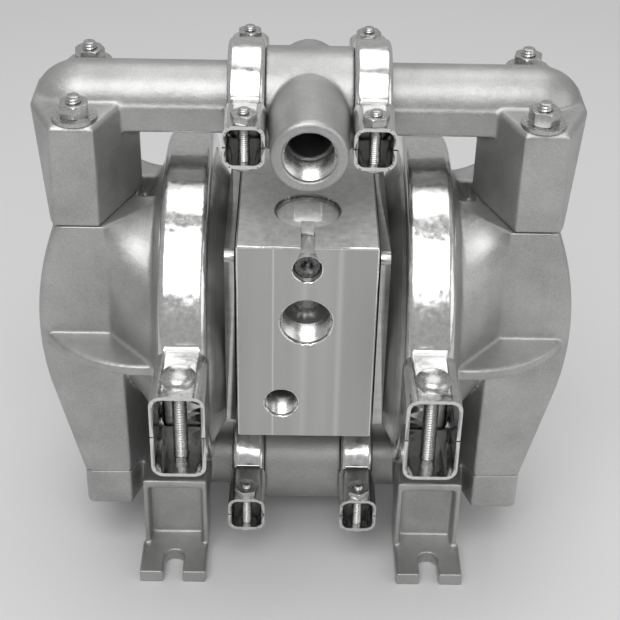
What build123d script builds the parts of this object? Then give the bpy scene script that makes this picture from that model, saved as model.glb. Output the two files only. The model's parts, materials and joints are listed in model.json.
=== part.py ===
from build123d import *
import math
import os

# Air operated double diaphragm pump, half inch class, clamped metal construction.
# Millimetres. X runs to the right, Y away from the outlet side, Z up from the floor.
# The origin is on the floor, under the middle of the pump.

# Layout of the pump
shaft_height = 122.5
discharge_rise = 99.5
inlet_drop = 91.5
discharge_joint_rise = 56.8
inlet_joint_drop = 74.5
clamp_offset = 50.5
column_offset = 93.5
valve_offset = 86.5
stud_front = 27.7
stud_rear = 24.5
running_gap = 0.05
seat_gap = 0.3
bolt_gap = 0.2
cut_overrun = 1.0

# Centre block and its ports
block_width = 57.4
block_front = 59.5
block_rear = 34.0
block_rise = 62.9
block_drop = 33.1
block_edge = 0.7
valve_axis_setback = 30.0
valve_bore_radius = 9.0
cap_radius = 13.9
cap_thickness = 6.5
cap_recess = 2.4
cap_lug_width = 12.5
cap_lug_depth = 9.0
cap_lug_height = 3.4
cap_lug_corner = 1.0
cap_lug_taper = 4.0
cap_key_length = 8.5
cap_key_inset = 2.0
cap_key_side_gap = 0.2
cap_key_recess = 0.6
snap_ring_wire = 1.0
snap_ring_bite = 1.1
snap_ring_mouth = 7.0
keyway_width = 5.7
keyway_depth = 2.6
exhaust_radius = 10.67
exhaust_rise = 26.7
exhaust_depth = 15.0
exhaust_passage_radius = 6.0
air_inlet_radius = 6.86
air_inlet_drop = 15.0
air_inlet_offset = 10.0
air_inlet_depth = 14.0
air_inlet_passage_radius = 3.5
plug_radius = 5.7
plug_rise = 52.4
plug_length = 9.0
plug_recess = 2.5
plug_key_radius = 2.8
plug_key_depth = 3.5
port_chamfer = 0.7
o_ring_radius = 1.0
ring_side_gap = 0.1
spool_travel = 8.0
spool_land = 12.0
spool_waist_radius = 5.0

# Shaft, pistons and diaphragms
shaft_radius = 8.0
shaft_stud_radius = 5.0
shaft_end_recess = 2.0
bushing_wall = 2.0
bushing_length = 11.0
seal_width = 2.5
pilot_rise = 24.0
pilot_radius = 4.0
pilot_overhang = 1.0
pilot_groove_depth = 1.2
pilot_bushing_wall = 2.5
pilot_bushing_length = 8.0
inner_piston_radius = 28.0
outer_piston_radius = 30.0
outer_piston_thickness = 7.0
inner_piston_thickness = 5.8
inner_piston_edge = 2.5
diaphragm_thickness = 2.4
diaphragm_clamp_radius = 62.0
diaphragm_bead_radius = 69.5
diaphragm_bead_width = 3.5
diaphragm_bead_height = 1.2
diaphragm_bulge = 4.5
diaphragm_piston_margin = 1.0

# Chamber flanges held by the large clamp bands
flange_radius = 73.2
flange_neck_radius = 66.6
flange_half_width = 8.2
gasket_thickness = 0.8
air_chamber_hub_radius = 46.0
air_chamber_wall = 4.5
air_chamber_hub_bevel = 2.0
air_chamber_hub_step = 4.0
air_chamber_floor_radius = 40.0
air_chamber_lip_width = 1.5
air_chamber_lip_depth = 4.0
flange_root = 1.2
chamber_screw_radius = 2.5
chamber_screw_head_radius = 4.0
chamber_screw_head_height = 3.6
chamber_screw_length = 14.0
chamber_screw_spread = 17.0
chamber_screw_rise = 29.0
screw_hole_overrun = 2.0
mount_pad_rise = 58.0
mount_pad_drop = 30.0
mount_pad_front = 57.0
mount_pad_rear = 31.0
mount_pad_thickness = 4.0
mount_pad_corner = 4.0
gasket_depth = 66.0
gasket_height = 60.2

# Liquid chamber
dome_foot_radius = 58.5
dome_foot_offset = 64.4
dome_shoulder_radius = 50.6
dome_shoulder_offset = 68.5
dome_nose_radius = 34.0
dome_nose_offset = 85.0
dome_end_offset = 109.0
dome_wall = 5.5
dome_neck_length = 2.4
column_bore_radius = 10.8
column_front = 36.0
column_rear = 33.5
column_inner = 72.5
column_neck_outer = 104.6
column_bulge_outer = 114.2
column_bulge_rise = 17.5
column_flank_outer = 112.4
column_flank_drop = 23.5
column_foot_outer = 100.6
column_corner_across = 7.0
column_corner_along = 21.0
cheek_offset = 84.0
cheek_sections = 6
ledge_thickness = 5.0
ledge_rise = 3.8
ledge_tip_inset = 2.0
ledge_middle_offset = 92.0
ledge_middle_depth = 54.6
ledge_root_depth = 60.3
ledge_root_inset = 1.0

# Manifolds
tube_radius = 15.0
tube_bore_radius = 10.5
tee_radius = 21.4
tee_bore_radius = 10.5
manifold_clamp_offset = 25.8
manifold_flange_radius = 22.6
manifold_flange_width = 5.8
manifold_groove_radius = 18.6
manifold_joint_gap = 0.4
pad_height_over_axis = 3.0
elbow_top_outer = 114.2
elbow_foot_outer = 106.0
elbow_inner = 71.0
elbow_nose_across = 14.5
elbow_nose_width = 1.0
elbow_slant_across = 11.0
elbow_slant_along = 24.0
discharge_end_offset = 93.5
discharge_end_reach = 19.5
inlet_end_offset = 91.5
inlet_end_reach = 15.0
tube_rib_half_width = 15.7
tube_rib_top = 1.6
tube_rib_bottom = 9.4
tube_rib_setback = 2.2
outlet_face = 53.5
outlet_radius = 15.4
outlet_root_radius = 17.8
port_thread_radius = 10.67
port_thread_depth = 18.0
port_passage_radius = 9.0
port_rim = 1.2
rear_boss_radius = 13.5
rear_boss_reach = 30.0
tee_ring_radius = 15.0
tee_ring_section = 1.2
tee_ring_squeeze = 0.4
ring_slack = 0.02
elbow_lug_thickness = 20.0

# Ball valves
ball_radius = 9.5
seat_bore_radius = 7.2
seat_outer_radius = 11.6
seat_height = 6.0
ball_lift = 5.5
cage_bore_radius = 8.2
seat_ring_section = 0.9
seat_ring_inset = 0.5

# Legs and feet
foot_width = 31.0
foot_offset = 59.8
foot_reach = 58.4
foot_thickness = 6.4
foot_depth = 19.7
foot_slot_radius = 4.4
foot_slot_centre = 47.6
leg_web_thickness = 4.0
leg_web_recess = 8.0
leg_rib_thickness = 2.6
leg_shelf_thickness = 4.0
leg_height_over_axis = 13.5
leg_rib_depth = 19.0
leg_outer_inset = 1.2

# Clamp bands, large then small
band_wall = 1.5
band_gap = 0.3
band_inner_corner = 0.7
band_half_width = 10.0
band_shoulder = 3.2
band_flange_inner_radius = 67.2
ear_reach = 102.0
ear_half_height = 20.0
ear_half_width = 11.0
ear_corner = 5.0
ear_joint_gap = 0.6
band_bolt_setback = 12.8
band_bolt_radius = 3.05
band_bolt_head_radius = 7.2
band_bolt_head_height = 4.0
band_nut_flats = 11.1
band_nut_height = 5.6
band_bolt_tail = 3.0
small_band_half_width = 7.6
small_band_shoulder = 2.4
small_band_flange_inner_radius = 19.0
small_ear_reach = 45.5
small_ear_half_height = 9.3
small_ear_half_width = 8.4
small_ear_corner = 4.5
small_bolt_setback = 5.4
small_bolt_radius = 2.4
small_bolt_head_radius = 5.6
small_bolt_head_height = 2.8
small_nut_flats = 9.5
small_nut_height = 3.4
small_bolt_tail = 2.0
small_band_slack = 0.4

# Tie studs
stud_radius = 3.1
stud_hole_radius = 3.4
stud_nut_flats = 11.1
stud_nut_height = 5.6
stud_washer_radius = 9.2
stud_washer_height = 1.6
stud_protrusion = 2.8
stud_grip = 16.0
stud_end_gap = 1.0
cast_edge = 3.0

# Places worked out from the sizes above
discharge_height = shaft_height + discharge_rise
inlet_height = shaft_height - inlet_drop
discharge_joint = shaft_height + discharge_joint_rise
inlet_joint = shaft_height - inlet_joint_drop
block_half = block_width / 2
block_top = shaft_height + block_rise
block_bottom = shaft_height - block_drop
chamber_face = block_half + gasket_thickness
air_wall_inner = chamber_face + air_chamber_wall
band_radius = flange_radius + seat_gap + band_wall
small_band_radius = manifold_flange_radius + small_band_slack + band_wall
elbow_pad_height = discharge_height + pad_height_over_axis
stud_top = elbow_pad_height + stud_washer_height + stud_nut_height + stud_protrusion
lug_bottom = inlet_joint - elbow_lug_thickness
column_faces = ((-1, column_front), (1, column_rear))
ledge_floor = shaft_height + ledge_rise - ledge_thickness
cap_face_top = block_top - cap_recess
cap_face_bottom = block_bottom + cap_recess
spool_bottom = cap_face_bottom + cap_thickness + seat_gap
spool_top = cap_face_top - cap_thickness - seat_gap - spool_travel
exhaust_height = shaft_height + exhaust_rise
air_inlet_height = shaft_height - air_inlet_drop
plug_height = shaft_height + plug_rise
flange_start = clamp_offset - flange_half_width
flange_end = clamp_offset + flange_half_width
manifold_face = manifold_clamp_offset + manifold_joint_gap / 2
tee_half = manifold_clamp_offset - manifold_joint_gap / 2
groove_start = manifold_clamp_offset - small_band_half_width - band_gap
groove_end = manifold_clamp_offset - small_band_half_width + band_wall + band_gap
ring_groove_depth = 2 * tee_ring_section - tee_ring_squeeze
seat_pocket = seat_height + 2 * seat_ring_section
ball_seat_rise = math.sqrt(ball_radius**2 - seat_bore_radius**2) + seat_gap
inlet_cage_top = inlet_joint + 2 * ball_radius + ball_lift
discharge_cage_top = discharge_joint + ball_seat_rise + ball_radius + ball_lift
leg_front = foot_reach - foot_depth
leg_top = inlet_height + leg_height_over_axis
leg_width = foot_width - leg_outer_inset
leg_middle = foot_offset - leg_outer_inset / 2
leg_inner_width = leg_width - 2 * leg_rib_thickness
piston_inner_face = clamp_offset - diaphragm_thickness / 2
piston_outer_face = clamp_offset + diaphragm_thickness / 2
shaft_shoulder = piston_inner_face - inner_piston_thickness
shaft_end = piston_outer_face + outer_piston_thickness - shaft_end_recess
shaft_axis = Axis((0, 0, shaft_height), (1, 0, 0))
shaft_plane = Plane(origin=(0, 0, shaft_height), x_dir=(1, 0, 0), z_dir=(0, -1, 0))
side_plane = Plane(origin=(0, 0, shaft_height), x_dir=(0, 1, 0), z_dir=(1, 0, 0))

finished = []


def keep(piece, label):
    """Give a finished piece its name and hold it for writing."""
    piece.part.label = label
    finished.append(piece)


def front_plane(height):
    """A plane facing the front, with X to the right, Z up and its origin at a height."""
    return Plane(origin=(0, 0, height), x_dir=(1, 0, 0), z_dir=(0, -1, 0))


def keep_mirrored(right_piece, stem):
    """Keep the right-hand piece and its mirror image on the left."""
    keep(right_piece, f"{stem}_right")
    with BuildPart() as left_piece:
        mirror(right_piece.part, about=Plane.YZ)
    keep(left_piece, f"{stem}_left")


# Centre block: a machined bar with the valve bore standing in front of the shaft bore
with BuildPart() as center_block:
    with BuildSketch(Plane.XY.offset(block_bottom)):
        with Locations((0, (block_rear - block_front) / 2)):
            Rectangle(block_width, block_front + block_rear)
    extrude(amount=block_rise + block_drop)
    chamfer(center_block.edges(), length=block_edge)
    # Valve bore, right through, with a pocket for an end cap at each end
    with BuildSketch(Plane.XY.offset(block_bottom)):
        with Locations((0, -valve_axis_setback)):
            Circle(valve_bore_radius)
    extrude(amount=block_rise + block_drop, mode=Mode.SUBTRACT)
    pocket_depth = cap_thickness + cap_recess
    for pocket_floor in (block_top - pocket_depth, block_bottom):
        with BuildSketch(Plane.XY.offset(pocket_floor)):
            with Locations((0, -valve_axis_setback)):
                Circle(cap_radius + running_gap)
        extrude(amount=pocket_depth, mode=Mode.SUBTRACT)
    # Grooves that hold the snap rings over the caps
    for groove_floor in (block_top - cap_recess, block_bottom + cap_recess - snap_ring_wire):
        with BuildSketch(Plane.XY.offset(groove_floor)):
            with Locations((0, -valve_axis_setback)):
                Circle(cap_radius + snap_ring_bite)
        extrude(amount=snap_ring_wire, mode=Mode.SUBTRACT)
    # Keyway from the cap to the front face
    with BuildSketch(Plane.XY.offset(block_top - keyway_depth)):
        with Locations((0, -(block_front + valve_axis_setback) / 2)):
            Rectangle(keyway_width, block_front - valve_axis_setback)
    extrude(amount=keyway_depth, mode=Mode.SUBTRACT)
    # Shaft and pilot bores, side to side
    with BuildSketch(side_plane.offset(-block_half)):
        Circle(shaft_radius + bushing_wall)
        with Locations((0, pilot_rise)):
            Circle(pilot_radius + pilot_bushing_wall)
    extrude(amount=block_width, mode=Mode.SUBTRACT)
    # Tapped holes for the chamber screws
    screw_depth = chamber_screw_length - air_chamber_wall - gasket_thickness + screw_hole_overrun
    for face_offset, direction in ((block_half, -1), (-block_half, 1)):
        with BuildSketch(side_plane.offset(face_offset)):
            with GridLocations(2 * chamber_screw_spread, 2 * chamber_screw_rise, 2, 2):
                Circle(chamber_screw_radius + running_gap)
        extrude(amount=direction * screw_depth, mode=Mode.SUBTRACT)
    # Threaded ports of the front face and their passages to the valve bore
    ports = (
        (0, exhaust_height, exhaust_radius, exhaust_depth, exhaust_passage_radius),
        (-air_inlet_offset, air_inlet_height, air_inlet_radius, air_inlet_depth, air_inlet_passage_radius),
        (0, plug_height, plug_radius, plug_length + plug_recess, 0),
    )
    for port_x, port_z, port_radius, port_depth, passage_radius in ports:
        with Locations(front_plane(port_z).offset(block_front) * Location((port_x, 0, 0))):
            with Locations((0, 0, -port_depth / 2)):
                Cylinder(port_radius, port_depth, mode=Mode.SUBTRACT)
            with Locations((0, 0, -port_chamfer / 2)):
                Cone(port_radius, port_radius + port_chamfer, port_chamfer, mode=Mode.SUBTRACT)
            if passage_radius:
                passage_length = block_front - valve_axis_setback
                with Locations((0, 0, -passage_length / 2)):
                    Cylinder(passage_radius, passage_length, mode=Mode.SUBTRACT)
keep(center_block, "center_block")

# Hex socket plug of the small front port
with BuildPart() as port_plug:
    with BuildSketch(front_plane(plug_height).offset(block_front - plug_recess)):
        Circle(plug_radius - running_gap)
    extrude(amount=-plug_length)
    chamfer(port_plug.faces().sort_by(Axis.Y)[0].edges(), length=port_chamfer)
    with BuildSketch(front_plane(plug_height).offset(block_front - plug_recess)):
        RegularPolygon(plug_key_radius, 6)
    extrude(amount=-plug_key_depth, mode=Mode.SUBTRACT)
keep(port_plug, "port_plug")


def valve_cap(face_height, outward):
    """End cap of the valve bore; outward is 1 for the top cap and -1 for the bottom one."""
    with BuildPart() as cap:
        with BuildSketch(Plane.XY.offset(face_height)):
            with Locations((0, -valve_axis_setback)):
                Circle(cap_radius)
        extrude(amount=-outward * cap_thickness)
        with BuildSketch(Plane.XY.offset(face_height)):
            with Locations((0, -valve_axis_setback)):
                RectangleRounded(cap_lug_width, cap_lug_depth, cap_lug_corner)
        extrude(amount=outward * cap_lug_height, taper=cap_lug_taper)
        # Groove for the O-ring
        groove_middle = face_height - outward * cap_thickness / 2
        with BuildSketch(Plane.XY.offset(groove_middle - o_ring_radius)):
            with Locations((0, -valve_axis_setback)):
                Circle(cap_radius + cut_overrun)
                Circle(cap_radius - 2 * o_ring_radius - ring_side_gap, mode=Mode.SUBTRACT)
        extrude(amount=2 * o_ring_radius, mode=Mode.SUBTRACT)
        if outward > 0:
            # Key that sits in the keyway and stops the cap from turning
            with BuildSketch(Plane.XY.offset(face_height - running_gap)):
                with Locations((0, -valve_axis_setback - cap_radius + cap_key_inset)):
                    Rectangle(keyway_width - 2 * cap_key_side_gap, cap_key_length)
            extrude(amount=cap_recess - cap_key_recess)
    return cap


keep(valve_cap(cap_face_top, 1), "valve_end_cap_top")
keep(valve_cap(cap_face_bottom, -1), "valve_end_cap_bottom")

# Snap rings over the caps, open at the keyway
with BuildPart() as snap_rings:
    for ring_floor in (cap_face_top, cap_face_bottom - snap_ring_wire):
        with BuildSketch(Plane.XY.offset(ring_floor + running_gap / 2)):
            with Locations((0, -valve_axis_setback)):
                Circle(cap_radius + snap_ring_bite - running_gap)
                Circle(cap_radius - snap_ring_bite, mode=Mode.SUBTRACT)
            with Locations((0, -valve_axis_setback - cap_radius)):
                Rectangle(snap_ring_mouth, cap_radius / 2, mode=Mode.SUBTRACT)
        extrude(amount=snap_ring_wire - running_gap)
keep(snap_rings, "valve_snap_rings")

# O-rings of both caps
with BuildPart() as cap_rings:
    for cap_middle in (cap_face_top - cap_thickness / 2, cap_face_bottom + cap_thickness / 2):
        with Locations((0, -valve_axis_setback, cap_middle)):
            Torus(cap_radius - o_ring_radius, o_ring_radius - running_gap)
keep(cap_rings, "valve_cap_o_rings")

# Air valve spool, free to slide between the caps
with BuildPart() as air_valve_spool:
    with BuildSketch(Plane.XY.offset(spool_bottom)):
        with Locations((0, -valve_axis_setback)):
            Circle(spool_waist_radius)
    extrude(amount=spool_top - spool_bottom)
    land_step = (spool_top - spool_bottom - spool_land) / 3
    for land in range(4):
        with BuildSketch(Plane.XY.offset(spool_bottom + land * land_step)):
            with Locations((0, -valve_axis_setback)):
                Circle(valve_bore_radius - running_gap)
        extrude(amount=spool_land)
keep(air_valve_spool, "air_valve_spool")

# Diaphragm shaft with a threaded stud at each end
with BuildPart() as diaphragm_shaft:
    with BuildSketch(side_plane.offset(-shaft_shoulder)):
        Circle(shaft_radius - running_gap)
    extrude(amount=2 * shaft_shoulder)
    with BuildSketch(side_plane.offset(-shaft_end)):
        Circle(shaft_stud_radius)
    extrude(amount=2 * shaft_end)
keep(diaphragm_shaft, "diaphragm_shaft")

# Shaft bushings, pressed in from both faces of the block
with BuildPart() as shaft_bushings:
    for bushing_start in (-block_half, block_half - bushing_length):
        with BuildSketch(side_plane.offset(bushing_start)):
            Circle(shaft_radius + bushing_wall)
            Circle(shaft_radius, mode=Mode.SUBTRACT)
        extrude(amount=bushing_length)
keep(shaft_bushings, "shaft_bushings")

# Shaft seals between the bushings
with BuildPart() as shaft_seals:
    for seal_start in (-block_half + bushing_length, block_half - bushing_length - seal_width):
        with BuildSketch(side_plane.offset(seal_start)):
            Circle(shaft_radius + bushing_wall)
            Circle(shaft_radius, mode=Mode.SUBTRACT)
        extrude(amount=seal_width)
keep(shaft_seals, "shaft_seals")

# Pilot spool above the shaft; the inner pistons push its ends
pilot_length = 2 * (air_wall_inner + pilot_overhang)
with BuildPart() as pilot_spool:
    with BuildSketch(side_plane.offset(-pilot_length / 2)):
        with Locations((0, pilot_rise)):
            Circle(pilot_radius - running_gap)
    extrude(amount=pilot_length)
    with BuildSketch(side_plane.offset(-pilot_radius)):
        with Locations((0, pilot_rise)):
            Circle(pilot_radius + cut_overrun)
            Circle(pilot_radius - pilot_groove_depth, mode=Mode.SUBTRACT)
    extrude(amount=2 * pilot_radius, mode=Mode.SUBTRACT)
keep(pilot_spool, "pilot_spool")

with BuildPart() as pilot_bushings:
    for bushing_start in (-block_half, block_half - pilot_bushing_length):
        with BuildSketch(side_plane.offset(bushing_start)):
            with Locations((0, pilot_rise)):
                Circle(pilot_radius + pilot_bushing_wall)
                Circle(pilot_radius, mode=Mode.SUBTRACT)
        extrude(amount=pilot_bushing_length)
keep(pilot_bushings, "pilot_bushings")

# Pistons on both ends of the shaft
with BuildPart() as inner_piston:
    with BuildSketch(side_plane.offset(shaft_shoulder)):
        Circle(inner_piston_radius)
        Circle(shaft_stud_radius, mode=Mode.SUBTRACT)
    extrude(amount=inner_piston_thickness)
    inner_face = inner_piston.faces().sort_by(Axis.X)[0]
    fillet(inner_face.edges().sort_by(SortBy.LENGTH)[-1], radius=inner_piston_edge)
keep_mirrored(inner_piston, "inner_piston")

with BuildPart() as outer_piston:
    with BuildSketch(shaft_plane):
        with BuildLine():
            crown_start = (piston_outer_face + outer_piston_thickness / 3, outer_piston_radius)
            crown_end = (piston_outer_face + outer_piston_thickness, outer_piston_radius / 2)
            Polyline(
                (shaft_end, 0),
                (shaft_end, shaft_stud_radius),
                (piston_outer_face, shaft_stud_radius),
                (piston_outer_face, outer_piston_radius),
                crown_start,
                crown_end,
                (piston_outer_face + outer_piston_thickness, 0),
                close=True,
            )
        make_face()
    revolve(axis=shaft_axis)
keep_mirrored(outer_piston, "outer_piston")

# Diaphragm: a clamped rim with a bead, a rolled convolution and a flat centre
with BuildPart() as diaphragm:
    with BuildSketch(shaft_plane):
        roll_start = outer_piston_radius + diaphragm_piston_margin
        roll_middle = (roll_start + diaphragm_clamp_radius) / 2
        bead_start = diaphragm_bead_radius - diaphragm_bead_width
        with BuildLine():
            Line((piston_inner_face, shaft_stud_radius), (piston_outer_face, shaft_stud_radius))
            Line((piston_outer_face, shaft_stud_radius), (piston_outer_face, roll_start))
            ThreePointArc(
                (piston_outer_face, roll_start),
                (piston_outer_face - diaphragm_bulge, roll_middle),
                (piston_outer_face, diaphragm_clamp_radius),
            )
            Polyline(
                (piston_outer_face, diaphragm_clamp_radius),
                (piston_outer_face, bead_start),
                (piston_outer_face + diaphragm_bead_height, bead_start),
                (piston_outer_face + diaphragm_bead_height, diaphragm_bead_radius),
                (piston_inner_face - diaphragm_bead_height, diaphragm_bead_radius),
                (piston_inner_face - diaphragm_bead_height, bead_start),
                (piston_inner_face, bead_start),
                (piston_inner_face, diaphragm_clamp_radius),
            )
            ThreePointArc(
                (piston_inner_face, diaphragm_clamp_radius),
                (piston_inner_face - diaphragm_bulge, roll_middle),
                (piston_inner_face, roll_start),
            )
            Line((piston_inner_face, roll_start), (piston_inner_face, shaft_stud_radius))
        make_face()
    revolve(axis=shaft_axis)
keep_mirrored(diaphragm, "diaphragm")

# Air chamber: a dished disc between the block and the clamp band
with BuildPart() as air_chamber:
    with BuildSketch(shaft_plane):
        with BuildLine():
            Polyline(
                (chamber_face, shaft_radius + bushing_wall),
                (chamber_face, air_chamber_hub_radius),
                (chamber_face + air_chamber_hub_bevel, air_chamber_hub_radius + air_chamber_hub_step),
                (flange_start - flange_root, flange_neck_radius),
                (flange_start, flange_neck_radius),
                (flange_start, flange_radius),
                (clamp_offset - seat_gap / 2, flange_radius),
                (clamp_offset - seat_gap / 2, diaphragm_bead_radius),
                (piston_inner_face - diaphragm_bead_height, diaphragm_bead_radius),
                (piston_inner_face - diaphragm_bead_height, bead_start),
                (piston_inner_face, bead_start),
                (piston_inner_face, diaphragm_clamp_radius),
                (piston_inner_face - air_chamber_lip_depth, diaphragm_clamp_radius - air_chamber_lip_width),
                (air_wall_inner, air_chamber_floor_radius),
                (air_wall_inner, shaft_radius + bushing_wall),
                close=True,
            )
        make_face()
    revolve(axis=shaft_axis)
    # Mounting pad that seats on the block's side
    with BuildSketch(side_plane.offset(chamber_face)):
        pad_depth = mount_pad_front + mount_pad_rear
        pad_span = mount_pad_rise + mount_pad_drop
        with Locations(((mount_pad_rear - mount_pad_front) / 2, (mount_pad_rise - mount_pad_drop) / 2)):
            RectangleRounded(pad_depth, pad_span, mount_pad_corner)
        Circle(air_chamber_hub_radius - air_chamber_hub_bevel, mode=Mode.SUBTRACT)
    extrude(amount=mount_pad_thickness)
    # Clearance for the pilot spool and the screws
    with BuildSketch(side_plane.offset(chamber_face)):
        with Locations((0, pilot_rise)):
            Circle(pilot_radius + cut_overrun)
        with GridLocations(2 * chamber_screw_spread, 2 * chamber_screw_rise, 2, 2):
            Circle(chamber_screw_radius + bolt_gap)
    extrude(amount=air_chamber_wall, mode=Mode.SUBTRACT)
keep_mirrored(air_chamber, "air_chamber")

# Gaskets between the block and the air chambers
with BuildPart() as chamber_gaskets:
    for gasket_start in (block_half, -block_half - gasket_thickness):
        with BuildSketch(side_plane.offset(gasket_start)):
            Rectangle(gasket_depth, gasket_height)
            Circle(shaft_radius + bushing_wall, mode=Mode.SUBTRACT)
            with Locations((0, pilot_rise)):
                Circle(pilot_radius + pilot_bushing_wall, mode=Mode.SUBTRACT)
            with GridLocations(2 * chamber_screw_spread, 2 * chamber_screw_rise, 2, 2):
                Circle(chamber_screw_radius + bolt_gap, mode=Mode.SUBTRACT)
        extrude(amount=gasket_thickness)
keep(chamber_gaskets, "chamber_gaskets")

# Screws from inside the air chambers into the block
with BuildPart() as chamber_screws:
    for side in (1, -1):
        with BuildSketch(side_plane.offset(side * air_wall_inner)):
            with GridLocations(2 * chamber_screw_spread, 2 * chamber_screw_rise, 2, 2):
                Circle(chamber_screw_head_radius)
        extrude(amount=side * chamber_screw_head_height)
        with BuildSketch(side_plane.offset(side * air_wall_inner)):
            with GridLocations(2 * chamber_screw_spread, 2 * chamber_screw_rise, 2, 2):
                Circle(chamber_screw_radius)
        extrude(amount=-side * chamber_screw_length)
keep(chamber_screws, "chamber_screws")


def column_section(inner, outline):
    """Front view of a column as a face, from its foot on the inner side round to its outer edge."""
    with BuildSketch(Plane.XZ.offset(-column_rear)) as section:
        with BuildLine():
            Polyline(outline[-1], (inner, outline[-1][1]), (inner, outline[0][1]), outline[0])
            if len(outline) == 2:
                Line(*outline)
            else:
                ThreePointArc(*outline[:3])
                Line(outline[2], outline[3])
        make_face()
    return section.sketch


def slant_corners(piece, across, along, round_outer):
    """Slant the inner long corners of a column and, if asked, round its outer ones."""
    for place in (0, -1):
        face = piece.faces().filter_by(Plane.XZ).sort_by(Axis.Y)[place]
        upright = face.edges().filter_by(lambda edge: abs(edge.tangent_at(0.5).Z) > 0.5)
        inner_edge = upright.sort_by(Axis.X)[0]
        chamfer(inner_edge, length=across, length2=along, reference=face)
    if round_outer:
        for place in (0, -1):
            face = piece.faces().filter_by(Plane.XZ).sort_by(Axis.Y)[place]
            upright = face.edges().filter_by(lambda edge: abs(edge.tangent_at(0.5).Z) > 0.5)
            fillet(upright.filter_by(lambda edge: edge.center().X > valve_offset), radius=cast_edge)


def column_hole(piece_low, piece_high, radius, y=0):
    """Cut an upright round hole on the valve axis, or at a stud when its y is given."""
    with BuildSketch(Plane.XY.offset(piece_low)) as hole:
        with Locations((column_offset, y) if y else (valve_offset, 0)):
            Circle(radius)
    extrude(hole.sketch, amount=piece_high - piece_low, mode=Mode.SUBTRACT)


# Liquid chamber: a domed disc, a stud column through it and a ledge round its middle
# Cheeks that lead from the column's upper front and rear down to the round of the dome
with BuildPart() as cheeks:
    for cheek_side, depth in column_faces:
        inner_y = cheek_side * depth / 4
        for step in range(cheek_sections):
            rise = ledge_floor + step / (cheek_sections - 1) * (discharge_joint - ledge_floor) - shaft_height
            foot_y = cheek_side * math.sqrt(dome_foot_radius**2 - rise**2)
            with BuildSketch(Plane.XY.offset(shaft_height + rise)):
                with BuildLine():
                    Polyline(
                        (cheek_offset, cheek_side * depth),
                        (dome_foot_offset, foot_y),
                        (dome_foot_offset, inner_y),
                        (cheek_offset, inner_y),
                        close=True,
                    )
                make_face()
        loft()
with BuildPart() as liquid_chamber:
    column_outline = (
        (column_neck_outer, discharge_joint),
        (column_bulge_outer, shaft_height + column_bulge_rise),
        (column_flank_outer, shaft_height - column_flank_drop),
        (column_foot_outer, inlet_joint),
    )
    extrude(column_section(column_inner, column_outline), amount=column_front + column_rear)
    slant_corners(liquid_chamber, column_corner_across, column_corner_along, True)
    # Domed disc with the flange for the clamp band
    with BuildSketch(shaft_plane):
        with BuildLine():
            Polyline(
                (dome_end_offset, 0),
                (clamp_offset + seat_gap / 2, 0),
                (clamp_offset + seat_gap / 2, flange_radius),
                (flange_end, flange_radius),
                (flange_end, flange_neck_radius),
                (flange_end + dome_neck_length, flange_neck_radius),
                (dome_foot_offset, dome_foot_radius),
            )
            ThreePointArc(
                (dome_foot_offset, dome_foot_radius),
                (dome_shoulder_offset, dome_shoulder_radius),
                (dome_nose_offset, dome_nose_radius),
            )
            Line((dome_nose_offset, dome_nose_radius), (dome_end_offset, 0))
        make_face()
    revolve(axis=shaft_axis)
    add(cheeks.part)
    # Ledge at mid height, front and rear
    with BuildSketch(Plane.XY.offset(ledge_floor)):
        for ledge_side, depth in column_faces:
            tip = (column_bulge_outer - ledge_tip_inset, ledge_side * (depth - cast_edge / 2))
            root = (dome_foot_offset - ledge_root_inset, ledge_side * ledge_root_depth)
            inner_y = ledge_side * depth / 2
            with BuildLine():
                ThreePointArc(tip, (ledge_middle_offset, ledge_side * ledge_middle_depth), root)
                Polyline(root, (root[0], inner_y), (tip[0], inner_y), tip)
            make_face()
    extrude(amount=ledge_thickness)
    # Pumping space behind the diaphragm
    with BuildSketch(shaft_plane):
        with BuildLine():
            Polyline(
                (dome_end_offset - 2 * dome_wall, 0),
                (clamp_offset, 0),
                (clamp_offset, diaphragm_bead_radius),
                (piston_outer_face + diaphragm_bead_height, diaphragm_bead_radius),
                (piston_outer_face + diaphragm_bead_height, bead_start),
                (piston_outer_face, bead_start),
                (piston_outer_face, diaphragm_clamp_radius),
                (dome_foot_offset - dome_wall, dome_foot_radius - dome_wall / 2),
                (dome_shoulder_offset - dome_wall, dome_shoulder_radius - dome_wall / 2),
                (dome_nose_offset - dome_wall / 2, dome_nose_radius - dome_wall),
                close=True,
            )
        make_face()
    revolve(axis=shaft_axis, mode=Mode.SUBTRACT)
    # Ball cage below, seat pocket above and the passage between them
    column_hole(inlet_joint, inlet_cage_top, column_bore_radius)
    column_hole(inlet_cage_top, discharge_joint, cage_bore_radius)
    column_hole(discharge_joint - seat_pocket, discharge_joint, seat_outer_radius + running_gap)
    for stud_y in (-stud_front, stud_rear):
        column_hole(inlet_joint, discharge_joint, stud_hole_radius, stud_y)
keep_mirrored(liquid_chamber, "liquid_chamber")


def manifold_tube(height, end_offset, end_reach):
    """Round tube of an elbow along X with its clamped flange and an oval end."""
    with BuildPart() as tube:
        with BuildSketch(front_plane(height)):
            with BuildLine():
                Polyline(
                    (end_offset + end_reach, 0),
                    (manifold_face, 0),
                    (manifold_face, manifold_flange_radius),
                    (manifold_face + manifold_flange_width, manifold_flange_radius),
                    (manifold_face + manifold_flange_width, tube_radius),
                    (end_offset, tube_radius),
                )
                EllipticalCenterArc((end_offset, 0), end_reach, tube_radius, start_angle=0, arc_size=90)
            make_face()
        revolve(axis=Axis((0, 0, height), (1, 0, 0)))
    return tube.part


def bore_tube(height):
    """Cut the bore of an elbow's tube."""
    with BuildSketch(side_plane.offset(manifold_face)) as bore:
        with Locations((0, height - shaft_height)):
            Circle(tube_bore_radius)
    return bore.sketch


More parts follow.
